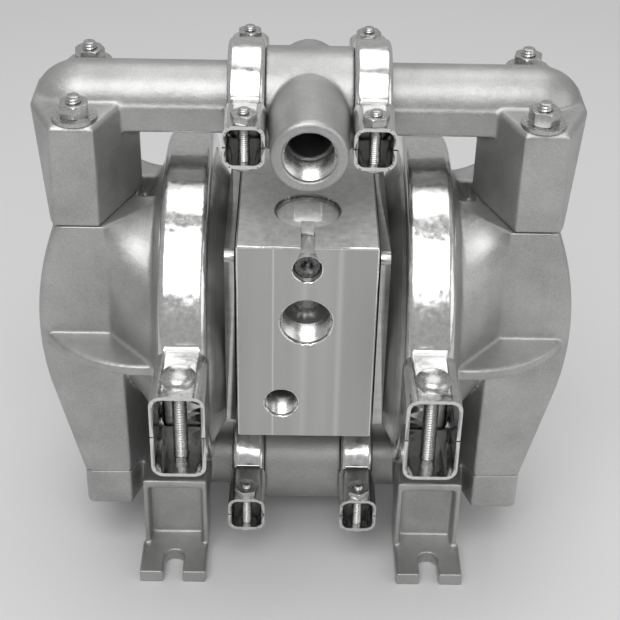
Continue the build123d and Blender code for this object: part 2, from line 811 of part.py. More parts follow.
# Discharge elbow: column with the stud pads, ball cage inside, and the tube on top
with BuildPart() as discharge_elbow:
    elbow_outline = ((elbow_top_outer, elbow_pad_height), (elbow_foot_outer, discharge_joint))
    extrude(column_section(elbow_inner, elbow_outline), amount=column_front + column_rear)
    nose_along = (column_front + column_rear - elbow_nose_width) / 2
    slant_corners(discharge_elbow, elbow_nose_across, nose_along, False)
    # Slanted outer corners that run out at the joint
    for slant_side, depth in column_faces:
        front = Vector(elbow_top_outer - elbow_slant_across, slant_side * depth, elbow_pad_height)
        flank = Vector(elbow_top_outer, slant_side * (depth - elbow_slant_along), elbow_pad_height)
        foot = Vector(elbow_foot_outer - cast_edge / 2, slant_side * depth, discharge_joint)
        outward = (flank - front).cross(foot - front) * slant_side
        split(bisect_by=Plane(origin=front, x_dir=flank - front, z_dir=outward), keep=Keep.BOTTOM)
    chamfer(discharge_elbow.faces().sort_by(Axis.Z)[-1].edges(), length=cast_edge / 2)
    add(manifold_tube(discharge_height, discharge_end_offset, discharge_end_reach))
    # Flat rib along both sides of the tube
    rib_start = manifold_face + manifold_flange_width + tube_rib_setback
    with BuildSketch(side_plane.offset(rib_start)):
        rib_middle = discharge_rise + (tube_rib_top - tube_rib_bottom) / 2
        with Locations((0, rib_middle)):
            Rectangle(2 * tube_rib_half_width, tube_rib_top + tube_rib_bottom)
    extrude(amount=column_offset - rib_start)
    extrude(bore_tube(discharge_height), amount=column_offset - manifold_face, mode=Mode.SUBTRACT)
    column_hole(discharge_joint, discharge_cage_top, column_bore_radius)
    column_hole(discharge_cage_top, discharge_height, cage_bore_radius)
    for stud_y in (-stud_front, stud_rear):
        column_hole(discharge_joint, elbow_pad_height + cast_edge, stud_hole_radius, stud_y)
keep_mirrored(discharge_elbow, "discharge_elbow")

# Inlet elbow: stud lug, seat pocket, tube, and two channel legs with slotted feet
with BuildPart() as front_leg:
    with BuildSketch(side_plane.offset(foot_offset - foot_width / 2)):
        with BuildLine():
            drop = -shaft_height
            Polyline(
                (-leg_front, drop),
                (-leg_front, drop + leg_top),
                (0, drop + leg_top),
                (0, drop + inlet_height),
                (-tube_radius, drop + inlet_height - tube_radius / 2),
                (-leg_front + leg_rib_depth, drop),
                close=True,
            )
        make_face()
    extrude(amount=leg_width)
    # Recess between the ribs in front of the web
    with BuildSketch(Plane.XY.offset(foot_thickness)):
        with Locations((leg_middle, -leg_front + leg_web_recess / 2)):
            Rectangle(leg_inner_width, leg_web_recess)
    extrude(amount=leg_top - leg_shelf_thickness - foot_thickness, mode=Mode.SUBTRACT)
    # Hollow behind the web, open below
    hollow_start = leg_web_recess + leg_web_thickness
    with BuildSketch(Plane.XY):
        with Locations((leg_middle, -leg_front + hollow_start + leg_rib_depth / 2)):
            Rectangle(leg_inner_width, leg_rib_depth)
    extrude(amount=leg_top - leg_shelf_thickness, mode=Mode.SUBTRACT)
    # Foot with its open slot
    with BuildSketch(Plane.XY):
        with Locations((foot_offset, -foot_reach + (foot_depth + cut_overrun) / 2)):
            Rectangle(foot_width, foot_depth + cut_overrun)
        with Locations((foot_offset, -foot_slot_centre)):
            Circle(foot_slot_radius, mode=Mode.SUBTRACT)
        slot_mouth = foot_reach - foot_slot_centre
        with Locations((foot_offset, -foot_slot_centre - slot_mouth / 2)):
            Rectangle(2 * foot_slot_radius, slot_mouth, mode=Mode.SUBTRACT)
    extrude(amount=foot_thickness)

with BuildPart() as inlet_elbow:
    lug_outline = ((column_foot_outer, inlet_joint), (column_foot_outer, lug_bottom))
    extrude(column_section(column_inner, lug_outline), amount=column_front + column_rear)
    slant_corners(inlet_elbow, column_corner_across, column_corner_along, True)
    chamfer(inlet_elbow.faces().sort_by(Axis.Z)[0].edges(), length=cast_edge / 2)
    add(front_leg.part)
    mirror(front_leg.part, about=Plane.XZ)
    add(manifold_tube(inlet_height, inlet_end_offset, inlet_end_reach))
    extrude(bore_tube(inlet_height), amount=column_offset - manifold_face, mode=Mode.SUBTRACT)
    column_hole(inlet_height, inlet_joint, cage_bore_radius)
    column_hole(inlet_joint - seat_pocket, inlet_joint, seat_outer_radius + running_gap)
    for stud_y in (-stud_front, stud_rear):
        column_hole(inlet_joint - stud_grip, inlet_joint, stud_radius + running_gap, stud_y)
keep_mirrored(inlet_elbow, "inlet_elbow")


def manifold_tee(height, barrel_side):
    """Tee of a manifold; barrel_side is -1 for a port at the front and 1 at the rear."""
    rise = height - shaft_height
    with BuildPart() as tee:
        with BuildSketch(side_plane.offset(-tee_half)):
            with Locations((0, rise)):
                Circle(manifold_flange_radius)
        extrude(amount=2 * tee_half)
        # Body between the clamps, and the grooves that take the clamp flanges
        for start, end, radius in (
            (-groove_start, groove_start, tee_radius),
            (groove_start, groove_end, manifold_groove_radius),
            (-groove_end, -groove_start, manifold_groove_radius),
        ):
            with BuildSketch(side_plane.offset(start)):
                with Locations((0, rise)):
                    Circle(manifold_flange_radius + cut_overrun)
                    Circle(radius, mode=Mode.SUBTRACT)
            extrude(amount=end - start, mode=Mode.SUBTRACT)
        # Port barrel, slightly tapered, with a bevelled rim
        turning_plane = Plane(origin=(0, 0, height), x_dir=(0, barrel_side, 0), z_dir=(barrel_side, 0, 0))
        with BuildSketch(turning_plane):
            with BuildLine():
                Polyline(
                    (0, 0),
                    (0, outlet_root_radius),
                    (outlet_face - port_rim, outlet_radius),
                    (outlet_face, outlet_radius - port_rim),
                    (outlet_face, 0),
                    close=True,
                )
            make_face()
        revolve(axis=Axis((0, 0, height), (0, 1, 0)))
        barrel_plane = Plane(origin=(0, 0, height), x_dir=(1, 0, 0), z_dir=(0, barrel_side, 0))
        if barrel_side < 0:
            with BuildSketch(barrel_plane.offset(-rear_boss_reach)):
                Circle(rear_boss_radius)
            extrude(amount=rear_boss_reach)
        # Bores
        with BuildSketch(side_plane.offset(-tee_half)):
            with Locations((0, rise)):
                Circle(tee_bore_radius)
        extrude(amount=2 * tee_half, mode=Mode.SUBTRACT)
        with BuildSketch(barrel_plane.offset(outlet_face)):
            Circle(port_thread_radius)
        extrude(amount=-port_thread_depth, mode=Mode.SUBTRACT)
        with BuildSketch(barrel_plane.offset(outlet_face)):
            Circle(port_passage_radius)
        extrude(amount=-outlet_face, mode=Mode.SUBTRACT)
        # Grooves for the O-rings in both end faces
        for start in (-tee_half, tee_half - ring_groove_depth):
            with BuildSketch(side_plane.offset(start)):
                with Locations((0, rise)):
                    Circle(tee_ring_radius + tee_ring_section + ring_side_gap)
                    Circle(tee_ring_radius - tee_ring_section - ring_side_gap, mode=Mode.SUBTRACT)
            extrude(amount=ring_groove_depth, mode=Mode.SUBTRACT)
    return tee


keep(manifold_tee(discharge_height, -1), "discharge_tee")
keep(manifold_tee(inlet_height, 1), "inlet_tee")

# O-rings between the tees and the elbows
with BuildPart() as tee_rings:
    for ring_height in (discharge_height, inlet_height):
        for side in (1, -1):
            ring_x = side * (tee_half - ring_groove_depth + tee_ring_section)
            with Locations(Location((ring_x, 0, ring_height), (0, 90, 0))):
                Torus(tee_ring_radius, tee_ring_section - ring_slack)
keep(tee_rings, "tee_o_rings")


def clamp_half(middle, height, up, sizes):
    """One half of a clamp band with a bent ear at the front and at the rear.

    middle is the X of the joint, height its centre, up is 1 for the upper half.
    """
    radius, half_width, shoulder, flange_inner, reach = sizes[:5]
    ear_rise, ear_width, corner, setback, hole = sizes[5:]
    inner_width = 2 * (half_width - band_wall)
    ring_plane = Plane(origin=(middle, 0, height), x_dir=(1, 0, 0), z_dir=(0, -1, 0))
    with BuildPart() as half:
        with BuildSketch(ring_plane) as channel:
            with Locations((0, (radius + flange_inner) / 2)):
                Rectangle(2 * half_width, radius - flange_inner)
            with Locations((0, (radius - band_wall + flange_inner) / 2)):
                Rectangle(inner_width, radius - band_wall - flange_inner, mode=Mode.SUBTRACT)
            fillet(channel.vertices().group_by(Axis.Y)[-2], radius=band_inner_corner)
            fillet(channel.vertices().group_by(Axis.Y)[-1], radius=shoulder)
        revolve(axis=Axis((middle, 0, height), (1, 0, 0)))
        # The band is open where the ears start
        with BuildSketch(Plane.XY.offset(height)):
            with Locations((middle, 0)):
                Rectangle(inner_width, 3 * radius)
        extrude(amount=ear_rise - band_wall, mode=Mode.SUBTRACT)
        # Ears: half of a rounded tube each, its flat side carrying the bolt
        ear_start = math.sqrt(radius**2 - ear_rise**2)
        for ear_side in (-1, 1):
            with BuildSketch(ring_plane.offset(-ear_side * ear_start)):
                RectangleRounded(2 * ear_width, 2 * ear_rise, corner)
                RectangleRounded(
                    2 * ear_width - 2 * band_wall,
                    2 * ear_rise - 2 * band_wall,
                    corner - band_wall,
                    mode=Mode.SUBTRACT,
                )
            extrude(amount=-ear_side * (reach - ear_start))
        split(bisect_by=Plane.XY.offset(height + ear_joint_gap / 2), keep=Keep.TOP)
        with BuildSketch(Plane.XY.offset(height + ear_rise - 2 * band_wall)):
            with Locations((middle, reach - setback), (middle, setback - reach)):
                Circle(hole + bolt_gap)
        extrude(amount=3 * band_wall, mode=Mode.SUBTRACT)
    if up > 0:
        return half
    with BuildPart() as lower_half:
        mirror(half.part, about=Plane.XY.offset(height))
    return lower_half


large_clamp = (
    band_radius,
    band_half_width,
    band_shoulder,
    band_flange_inner_radius,
    ear_reach,
    ear_half_height,
    ear_half_width,
    ear_corner,
    band_bolt_setback,
    band_bolt_radius,
)
small_clamp = (
    small_band_radius,
    small_band_half_width,
    small_band_shoulder,
    small_band_flange_inner_radius,
    small_ear_reach,
    small_ear_half_height,
    small_ear_half_width,
    small_ear_corner,
    small_bolt_setback,
    small_bolt_radius,
)
for up, half_name in ((1, "upper"), (-1, "lower")):
    large_half = clamp_half(clamp_offset, shaft_height, up, large_clamp)
    keep_mirrored(large_half, f"large_clamp_{half_name}")
    for height, manifold_name in ((discharge_height, "discharge"), (inlet_height, "inlet")):
        small_half = clamp_half(manifold_clamp_offset, height, up, small_clamp)
        keep_mirrored(small_half, f"{manifold_name}_clamp_{half_name}")


def carriage_bolt(radius, head_radius, head_height, length):
    """Bolt hanging down from its domed head; the head's flat side is at Z = 0."""
    with BuildPart() as bolt:
        with BuildSketch(Plane.XZ):
            with BuildLine():
                rim_height = head_height / 3
                TangentArc((0, head_height), (head_radius, rim_height), tangent=(1, 0))
                Polyline(
                    (0, head_height),
                    (0, -length),
                    (radius, -length),
                    (radius, 0),
                    (head_radius, 0),
                    (head_radius, rim_height),
                )
            make_face()
        revolve(axis=Axis.Z)
    return bolt.part


def hex_nut(flats, hole_radius, height):
    """Hex nut standing on Z = 0 with its upper corners bevelled."""
    with BuildPart() as nut:
        with BuildSketch():
            RegularPolygon(flats / 2, 6, major_radius=False)
            Circle(hole_radius, mode=Mode.SUBTRACT)
        extrude(amount=height)
        bevel_reach = flats / 2 + height * math.sqrt(3)
        lying = (Align.CENTER, Align.CENTER, Align.MIN)
        Cone(bevel_reach, flats / 2, height, align=lying, mode=Mode.INTERSECT)
    return nut.part


clamp_places = [(x, y) for x in (-clamp_offset, clamp_offset) for y in (-1, 1)]
large_bolt_reach = ear_reach - band_bolt_setback
large_bolt_length = 2 * ear_half_height + band_nut_height + band_bolt_tail
with BuildPart() as large_clamp_bolts:
    for x, side in clamp_places:
        with Locations((x, side * large_bolt_reach, shaft_height + ear_half_height)):
            add(
                carriage_bolt(
                    band_bolt_radius, band_bolt_head_radius, band_bolt_head_height, large_bolt_length
                )
            )
keep(large_clamp_bolts, "large_clamp_bolts")

with BuildPart() as large_clamp_nuts:
    nut_floor = shaft_height - ear_half_height - band_nut_height
    for x, side in clamp_places:
        with Locations((x, side * large_bolt_reach, nut_floor)):
            add(hex_nut(band_nut_flats, band_bolt_radius + running_gap, band_nut_height))
keep(large_clamp_nuts, "large_clamp_nuts")

# The small clamps have their bolt heads below and their nuts on top
small_bolt_reach = small_ear_reach - small_bolt_setback
small_bolt_length = 2 * small_ear_half_height + small_nut_height + small_bolt_tail
small_places = [
    (x, side, height)
    for x in (-manifold_clamp_offset, manifold_clamp_offset)
    for side in (-1, 1)
    for height in (discharge_height, inlet_height)
]
with BuildPart() as small_clamp_bolts:
    for x, side, height in small_places:
        with Locations(Location((x, side * small_bolt_reach, height - small_ear_half_height), (180, 0, 0))):
            add(
                carriage_bolt(
                    small_bolt_radius, small_bolt_head_radius, small_bolt_head_height, small_bolt_length
                )
            )
keep(small_clamp_bolts, "small_clamp_bolts")

with BuildPart() as small_clamp_nuts:
    for x, side, height in small_places:
        with Locations((x, side * small_bolt_reach, height + small_ear_half_height)):
            add(hex_nut(small_nut_flats, small_bolt_radius + running_gap, small_nut_height))
keep(small_clamp_nuts, "small_clamp_nuts")

# Tie studs from the inlet elbow lugs up through the chamber columns and discharge elbows
stud_places = [(x, y) for x in (-column_offset, column_offset) for y in (-stud_front, stud_rear)]
with BuildPart() as tie_studs:
    stud_foot = inlet_joint - stud_grip + stud_end_gap
    with BuildSketch(Plane.XY.offset(stud_foot)):
        with Locations(*stud_places):
            Circle(stud_radius)
    extrude(amount=stud_top - stud_foot)
keep(tie_studs, "tie_studs")

with BuildPart() as tie_washers:
    with BuildSketch(Plane.XY.offset(elbow_pad_height)):
        with Locations(*stud_places):
            Circle(stud_washer_radius)
            Circle(stud_radius + bolt_gap, mode=Mode.SUBTRACT)
    extrude(amount=stud_washer_height)
keep(tie_washers, "tie_stud_washers")

with BuildPart() as tie_nuts:
    for x, y in stud_places:
        with Locations((x, y, elbow_pad_height + stud_washer_height)):
            add(hex_nut(stud_nut_flats, stud_radius + running_gap, stud_nut_height))
keep(tie_nuts, "tie_stud_nuts")

# Valve seats, their O-rings and the balls that rest on them
ball_joints = (inlet_joint, discharge_joint)
seat_places = [(x, joint) for x in (-valve_offset, valve_offset) for joint in ball_joints]
with BuildPart() as valve_seats:
    for x, joint in seat_places:
        with BuildSketch(Plane.XY.offset(joint - seat_height)):
            with Locations((x, 0)):
                Circle(seat_outer_radius)
                Circle(seat_bore_radius, mode=Mode.SUBTRACT)
        extrude(amount=seat_height)
keep(valve_seats, "valve_seats")

with BuildPart() as seat_rings:
    for x, joint in seat_places:
        with Locations((x, 0, joint - seat_height - seat_ring_section)):
            Torus(seat_outer_radius - seat_ring_section - seat_ring_inset, seat_ring_section - ring_slack)
keep(seat_rings, "seat_o_rings")

for joint, ball_name in ((inlet_joint, "inlet_ball"), (discharge_joint, "discharge_ball")):
    with BuildPart() as valve_ball:
        with Locations((valve_offset, 0, joint + ball_seat_rise)):
            Sphere(ball_radius)
    keep_mirrored(valve_ball, ball_name)

os.makedirs("parts", exist_ok=True)
for piece in finished:
    export_step(piece.part, f"parts/{piece.part.label}.step")
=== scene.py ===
import json
import math
import bpy
from mathutils import Matrix, Vector


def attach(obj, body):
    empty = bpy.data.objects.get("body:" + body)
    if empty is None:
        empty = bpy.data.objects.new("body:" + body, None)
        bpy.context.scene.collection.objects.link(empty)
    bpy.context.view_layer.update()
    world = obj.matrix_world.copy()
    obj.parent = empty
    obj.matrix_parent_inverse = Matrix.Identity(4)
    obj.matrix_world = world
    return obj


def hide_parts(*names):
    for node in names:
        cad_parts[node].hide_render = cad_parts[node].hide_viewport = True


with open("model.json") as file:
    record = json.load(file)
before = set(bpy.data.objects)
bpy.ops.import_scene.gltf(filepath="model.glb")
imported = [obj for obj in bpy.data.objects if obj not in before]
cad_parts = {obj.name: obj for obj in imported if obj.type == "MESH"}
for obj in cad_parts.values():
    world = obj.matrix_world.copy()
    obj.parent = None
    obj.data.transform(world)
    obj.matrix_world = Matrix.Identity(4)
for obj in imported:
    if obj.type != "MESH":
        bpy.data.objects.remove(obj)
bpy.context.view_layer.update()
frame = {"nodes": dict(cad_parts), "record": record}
nodes = frame["nodes"]
scene = bpy.context.scene
scene.view_settings.view_transform = "Standard"
print("frame loaded,", len(nodes), "nodes")


# Camera: fitted to the photograph, in metres and degrees
cameraSettings = {
    "place": (-0.00579, -0.5435, 0.4843),
    "lookDown": 34.17,
    "turn": -0.85,
    "roll": 1.29,
    "lens": 83.36,
    "sensor": 36.0,
}
bpy.ops.object.camera_add()
camera = bpy.context.object
camera.data.lens = cameraSettings["lens"]
camera.data.sensor_width = cameraSettings["sensor"]
standing = Matrix.Translation(cameraSettings["place"])
turning = Matrix.Rotation(math.radians(cameraSettings["turn"]), 4, "Z")
tipping = Matrix.Rotation(math.radians(90 - cameraSettings["lookDown"]), 4, "X")
rolling = Matrix.Rotation(math.radians(cameraSettings["roll"]), 4, "Z")
camera.matrix_world = standing @ turning @ tipping @ rolling
scene.camera = camera
print("camera placed")


# Studio: pale floor, soft lamps and a plain world
studio = {
    "floorSize": 24.0,
    "floorColour": 0.68,
    "floorRough": 0.7,
    "worldColour": 0.47,
    "worldStrength": 1.0,
    "aim": (0, 0, 0.12),
    "lampSize": 0.85,
    "lamps": {
        "keyLamp": {"place": (-0.15, -0.65, 1.05), "power": 7.2},
        "fillLamp": {"place": (0.95, -0.55, 0.55), "power": 2.2},
        "topLamp": {"place": (0.05, 0.35, 1.2), "power": 3.4},
    },
}
for name, settings in studio["lamps"].items():
    bpy.ops.object.light_add(type="AREA", location=settings["place"])
    lamp = bpy.context.object
    lamp.name = name
    lamp.data.size = studio["lampSize"]
    lamp.data.energy = settings["power"]
    beam = Vector(studio["aim"]) - Vector(settings["place"])
    lamp.rotation_euler = beam.to_track_quat("-Z", "Y").to_euler()

bpy.ops.mesh.primitive_plane_add(size=studio["floorSize"], location=(0, 0, 0))
floor = bpy.context.object
floor.name = "floor"

world = bpy.data.worlds.new("studioWorld")
scene.world = world
world.use_nodes = True
background = world.node_tree.nodes["Background"]
background.inputs["Color"].default_value = (studio["worldColour"],) * 3 + (1,)
background.inputs["Strength"].default_value = studio["worldStrength"]
print("studio lit")


def newMaterial(name):
    made = bpy.data.materials.new(name)
    made.use_nodes = True
    return made, made.node_tree.nodes, made.node_tree.links, made.node_tree.nodes["Principled BSDF"]


def objectPlace(treeNodes, links, scale=(1, 1, 1)):
    place = treeNodes.new("ShaderNodeTexCoord")
    mapping = treeNodes.new("ShaderNodeMapping")
    mapping.inputs["Scale"].default_value = scale
    links.new(place.outputs["Object"], mapping.inputs["Vector"])
    return mapping.outputs["Vector"]


def noiseOn(treeNodes, links, vector, scale, detail=3.0, roughness=0.55):
    noise = treeNodes.new("ShaderNodeTexNoise")
    noise.inputs["Scale"].default_value = scale
    noise.inputs["Detail"].default_value = detail
    noise.inputs["Roughness"].default_value = roughness
    links.new(vector, noise.inputs["Vector"])
    return noise.outputs["Fac"]


# Spreads a noise, or any source between start and end, over low to high
def rampOf(treeNodes, links, source, low, high, start=0.3, end=0.7):
    ramp = treeNodes.new("ShaderNodeMapRange")
    ramp.inputs["From Min"].default_value = start
    ramp.inputs["From Max"].default_value = end
    ramp.inputs["To Min"].default_value = low
    ramp.inputs["To Max"].default_value = high
    links.new(source, ramp.inputs["Value"])
    return ramp.outputs["Result"]


def greyFrom(treeNodes, links, value, tint=(1.0, 1.0, 0.99)):
    joined = treeNodes.new("ShaderNodeCombineColor")
    for channel, share in zip(("Red", "Green", "Blue"), tint):
        scaled = treeNodes.new("ShaderNodeMath")
        scaled.operation = "MULTIPLY"
        scaled.inputs[1].default_value = share
        links.new(value, scaled.inputs[0])
        links.new(scaled.outputs[0], joined.inputs[channel])
    return joined.outputs["Color"]


def bumpOf(treeNodes, links, height, distance, strength, under=None):
    bump = treeNodes.new("ShaderNodeBump")
    bump.inputs["Distance"].default_value = distance
    bump.inputs["Strength"].default_value = strength
    links.new(height, bump.inputs["Height"])
    if under:
        links.new(under, bump.inputs["Normal"])
    return bump.outputs["Normal"]


def addMath(treeNodes, links, operation, first, second):
    made = treeNodes.new("ShaderNodeMath")
    made.operation = operation
    for socket, value in zip(made.inputs, (first, second)):
        if isinstance(value, (int, float)):
            socket.default_value = value
        else:
            links.new(value, socket)
    return made.outputs[0]


# Cast aluminium: fine sand grain, soft blotches and shallow waves
castSettings = {
    "dark": 0.37, "light": 0.51, "blotch": 38, "grain": 1900, "speck": 0.06, "wave": 260,
    "roughLow": 0.34, "roughHigh": 0.5, "metal": 0.88,
    "grainHeight": 0.00012, "grainStrength": 0.8, "waveHeight": 0.0003, "waveStrength": 0.5,
}


def castAluminium(name, settings):
    made, treeNodes, links, shader = newMaterial(name)
    place = objectPlace(treeNodes, links)
    grain = noiseOn(treeNodes, links, place, settings["grain"], 4.0, 0.65)
    blotch = noiseOn(treeNodes, links, place, settings["blotch"], 4.0, 0.6)
    shade = rampOf(treeNodes, links, blotch, settings["dark"], settings["light"])
    speck = rampOf(treeNodes, links, grain, -settings["speck"], settings["speck"], 0.35, 0.65)
    grey = greyFrom(treeNodes, links, addMath(treeNodes, links, "ADD", shade, speck))
    links.new(grey, shader.inputs["Base Color"])
    rough = rampOf(treeNodes, links, grain, settings["roughLow"], settings["roughHigh"])
    links.new(rough, shader.inputs["Roughness"])
    shader.inputs["Metallic"].default_value = settings["metal"]
    waves = noiseOn(treeNodes, links, place, settings["wave"], 2.0)
    soft = bumpOf(treeNodes, links, waves, settings["waveHeight"], settings["waveStrength"])
    sand = bumpOf(treeNodes, links, grain, settings["grainHeight"], settings["grainStrength"], soft)
    links.new(sand, shader.inputs["Normal"])
    return made


# Machined block: upright cutter streaks, and painted reflections: brighter upright stripes across the block
# that stand in for light caught on its cut faces.
# Each painted reflection stripe has its place across the block, its half width and how much brighter it is
blockSettings = {
    "dark": 0.42, "light": 0.50, "wide": 60, "wideScale": (1, 1, 0.02),
    "streak": 260, "streakScale": (6, 6, 0.02), "line": 0.014,
    "roughLow": 0.38, "roughHigh": 0.52, "metal": 0.85,
    "streakHeight": 0.00004, "streakStrength": 0.6,
    "reflectionStripes": ((-0.0137, 0.0006, 0.2), (-0.001, 0.0022, 0.07), (0.0135, 0.0018, 0.12)),
}


def machinedAluminium(name, settings):
    made, treeNodes, links, shader = newMaterial(name)
    drawnOut = objectPlace(treeNodes, links, settings["streakScale"])
    streaks = noiseOn(treeNodes, links, drawnOut, settings["streak"], 3.0)
    drawnWide = objectPlace(treeNodes, links, settings["wideScale"])
    wide = noiseOn(treeNodes, links, drawnWide, settings["wide"], 2.0)
    shade = rampOf(treeNodes, links, wide, settings["dark"], settings["light"])
    across = treeNodes.new("ShaderNodeSeparateXYZ")
    links.new(objectPlace(treeNodes, links), across.inputs[0])
    # Painted reflections: each stripe adds brightness to the colour near its place across the block
    for place, halfWidth, highlightGain in settings["reflectionStripes"]:
        gap = addMath(treeNodes, links, "SUBTRACT", across.outputs["X"], place)
        away = addMath(treeNodes, links, "ABSOLUTE", gap, 0.0)
        brighter = rampOf(treeNodes, links, away, highlightGain, 0.0, 0.0, halfWidth)
        shade = addMath(treeNodes, links, "ADD", shade, brighter)
    line = rampOf(treeNodes, links, streaks, -settings["line"], settings["line"])
    grey = greyFrom(treeNodes, links, addMath(treeNodes, links, "ADD", shade, line))
    links.new(grey, shader.inputs["Base Color"])
    shader.inputs["Metallic"].default_value = settings["metal"]
    rough = rampOf(treeNodes, links, streaks, settings["roughLow"], settings["roughHigh"])
    links.new(rough, shader.inputs["Roughness"])
    cuts = bumpOf(treeNodes, links, streaks, settings["streakHeight"], settings["streakStrength"])
    links.new(cuts, shader.inputs["Normal"])
    return made


# Turned aluminium: rings round the shaft axis
turnedSettings = {
    "axisHeight": 0.1225, "dark": 0.42, "light": 0.62, "wide": 45, "ring": 900, "line": 0.06,
    "rough": 0.32, "metal": 0.95, "ringHeight": 0.00005, "ringStrength": 0.6,
}


def turnedAluminium(name, settings):
    made, treeNodes, links, shader = newMaterial(name)
    split = treeNodes.new("ShaderNodeSeparateXYZ")
    links.new(objectPlace(treeNodes, links), split.inputs[0])
    rise = addMath(treeNodes, links, "SUBTRACT", split.outputs["Z"], settings["axisHeight"])
    riseSquared = addMath(treeNodes, links, "MULTIPLY", rise, rise)
    depthSquared = addMath(treeNodes, links, "MULTIPLY", split.outputs["Y"], split.outputs["Y"])
    both = addMath(treeNodes, links, "ADD", riseSquared, depthSquared)
    radius = addMath(treeNodes, links, "SQRT", both, 0.0)
    outwards = treeNodes.new("ShaderNodeCombineXYZ")
    links.new(radius, outwards.inputs["X"])
    rings = noiseOn(treeNodes, links, outwards.outputs[0], settings["ring"], 3.0)
    wide = noiseOn(treeNodes, links, objectPlace(treeNodes, links), settings["wide"], 3.0)
    shade = rampOf(treeNodes, links, wide, settings["dark"], settings["light"])
    line = rampOf(treeNodes, links, rings, -settings["line"], settings["line"])
    grey = greyFrom(treeNodes, links, addMath(treeNodes, links, "ADD", shade, line))
    links.new(grey, shader.inputs["Base Color"])
    shader.inputs["Metallic"].default_value = settings["metal"]
    shader.inputs["Roughness"].default_value = settings["rough"]
    cuts = bumpOf(treeNodes, links, rings, settings["ringHeight"], settings["ringStrength"])
    links.new(cuts, shader.inputs["Normal"])
    return made


# Polished band sheet: bright, slightly wavy, with fine rub marks
bandSettings = {
    "dark": 0.60, "light": 0.76, "marks": 420, "wave": 90, "roughLow": 0.1, "roughHigh": 0.26, "metal": 1.0,
    "markHeight": 0.00002, "markStrength": 0.5, "waveHeight": 0.0012, "waveStrength": 0.35,
}


def polishedSheet(name, settings):
    made, treeNodes, links, shader = newMaterial(name)
    place = objectPlace(treeNodes, links)
    marks = noiseOn(treeNodes, links, place, settings["marks"], 4.0, 0.7)
    shade = rampOf(treeNodes, links, marks, settings["dark"], settings["light"])
    links.new(greyFrom(treeNodes, links, shade), shader.inputs["Base Color"])
    shader.inputs["Metallic"].default_value = settings["metal"]
    rough = rampOf(treeNodes, links, marks, settings["roughLow"], settings["roughHigh"])
    links.new(rough, shader.inputs["Roughness"])
    wave = noiseOn(treeNodes, links, place, settings["wave"], 2.0)
    soft = bumpOf(treeNodes, links, wave, settings["waveHeight"], settings["waveStrength"])
    rubbed = bumpOf(treeNodes, links, marks, settings["markHeight"], settings["markStrength"], soft)
    links.new(rubbed, shader.inputs["Normal"])
    return made


# Plain metal: its marks make it darker and brighter, and smoother and rougher, by these amounts
metalMarks = {
    "darker": 0.12, "brighter": 0.08, "smoother": 0.06, "rougher": 0.1, "height": 0.00003, "strength": 0.6,
}


def plainMetal(name, colour, rough, grain=900, metal=1.0):
    made, treeNodes, links, shader = newMaterial(name)
    marks = noiseOn(treeNodes, links, objectPlace(treeNodes, links), grain, 4.0, 0.65)
    shade = rampOf(
        treeNodes, links, marks, colour - metalMarks["darker"], colour + metalMarks["brighter"]
    )
    links.new(greyFrom(treeNodes, links, shade), shader.inputs["Base Color"])
    shader.inputs["Metallic"].default_value = metal
    worn = rampOf(
        treeNodes, links, marks, rough - metalMarks["smoother"], rough + metalMarks["rougher"]
    )
    links.new(worn, shader.inputs["Roughness"])
    scratched = bumpOf(treeNodes, links, marks, metalMarks["height"], metalMarks["strength"])
    links.new(scratched, shader.inputs["Normal"])
    return made


# Rubber and plastic: shares of the colour at the darkest and lightest marks
softMarks = {"grain": 1200, "dark": 0.85, "light": 1.1, "height": 0.00003, "strength": 0.5}


def softStuff(name, colour, rough):
    made, treeNodes, links, shader = newMaterial(name)
    marks = noiseOn(treeNodes, links, objectPlace(treeNodes, links), softMarks["grain"], 3.0)
    shade = rampOf(treeNodes, links, marks, colour * softMarks["dark"], colour * softMarks["light"])
    links.new(greyFrom(treeNodes, links, shade), shader.inputs["Base Color"])
    shader.inputs["Roughness"].default_value = rough
    grained = bumpOf(treeNodes, links, marks, softMarks["height"], softMarks["strength"])
    links.new(grained, shader.inputs["Normal"])
    return made


finishes = {
    "cast_metal": castAluminium("castAluminium", castSettings),
    "block_metal": machinedAluminium("machinedBlock", blockSettings),
    "air_chamber_metal": turnedAluminium("turnedChamber", turnedSettings),
    "cap_metal": plainMetal("endCapMetal", 0.84, 0.45, 500, 0.35),
    "band_steel": polishedSheet("polishedBand", bandSettings),
    "fastener_steel": plainMetal("fastenerSteel", 0.52, 0.28),
    "polished_metal": plainMetal("groundSteel", 0.72, 0.16),
    "seal_rubber": softStuff("sealRubber", 0.045, 0.65),
    "diaphragm_rubber": softStuff("diaphragmRubber", 0.06, 0.6),
    "bearing_plastic": softStuff("bearingPlastic", 0.72, 0.5),
    "ball_plastic": softStuff("ballPlastic", 0.85, 0.4),
}
plugFinish = plainMetal("blackenedPlug", 0.16, 0.38)
# Painted highlight: a bright, smooth finish for the block's chamfers, standing in for light caught on their
# edges
chamferHighlightFinish = plainMetal("chamferPaintedHighlight", 0.84, 0.2)
# Painted light: a lighter, less metallic copy of the block's finish for its up-facing top, as lit from above
topLitFinish = plainMetal("milledTopPaintedLight", 0.66, 0.45, 300, 0.5)
threadFinish = plainMetal("cutThread", 0.66, 0.24, 250)
slotOf = {part["node"]: part["material_slot"] for part in frame["record"]["subparts"]}


def dress(piece, slot):
    piece.data.materials.clear()
    piece.data.materials.append(finishes[slot])


for name, node in nodes.items():
    dress(node, slotOf[name])

floorMaterial = newMaterial("paleFloor")[0]
floorShader = floorMaterial.node_tree.nodes["Principled BSDF"]
floorShader.inputs["Base Color"].default_value = (studio["floorColour"],) * 3 + (1,)
floorShader.inputs["Roughness"].default_value = studio["floorRough"]
floor.data.materials.append(floorMaterial)
print("materials made")


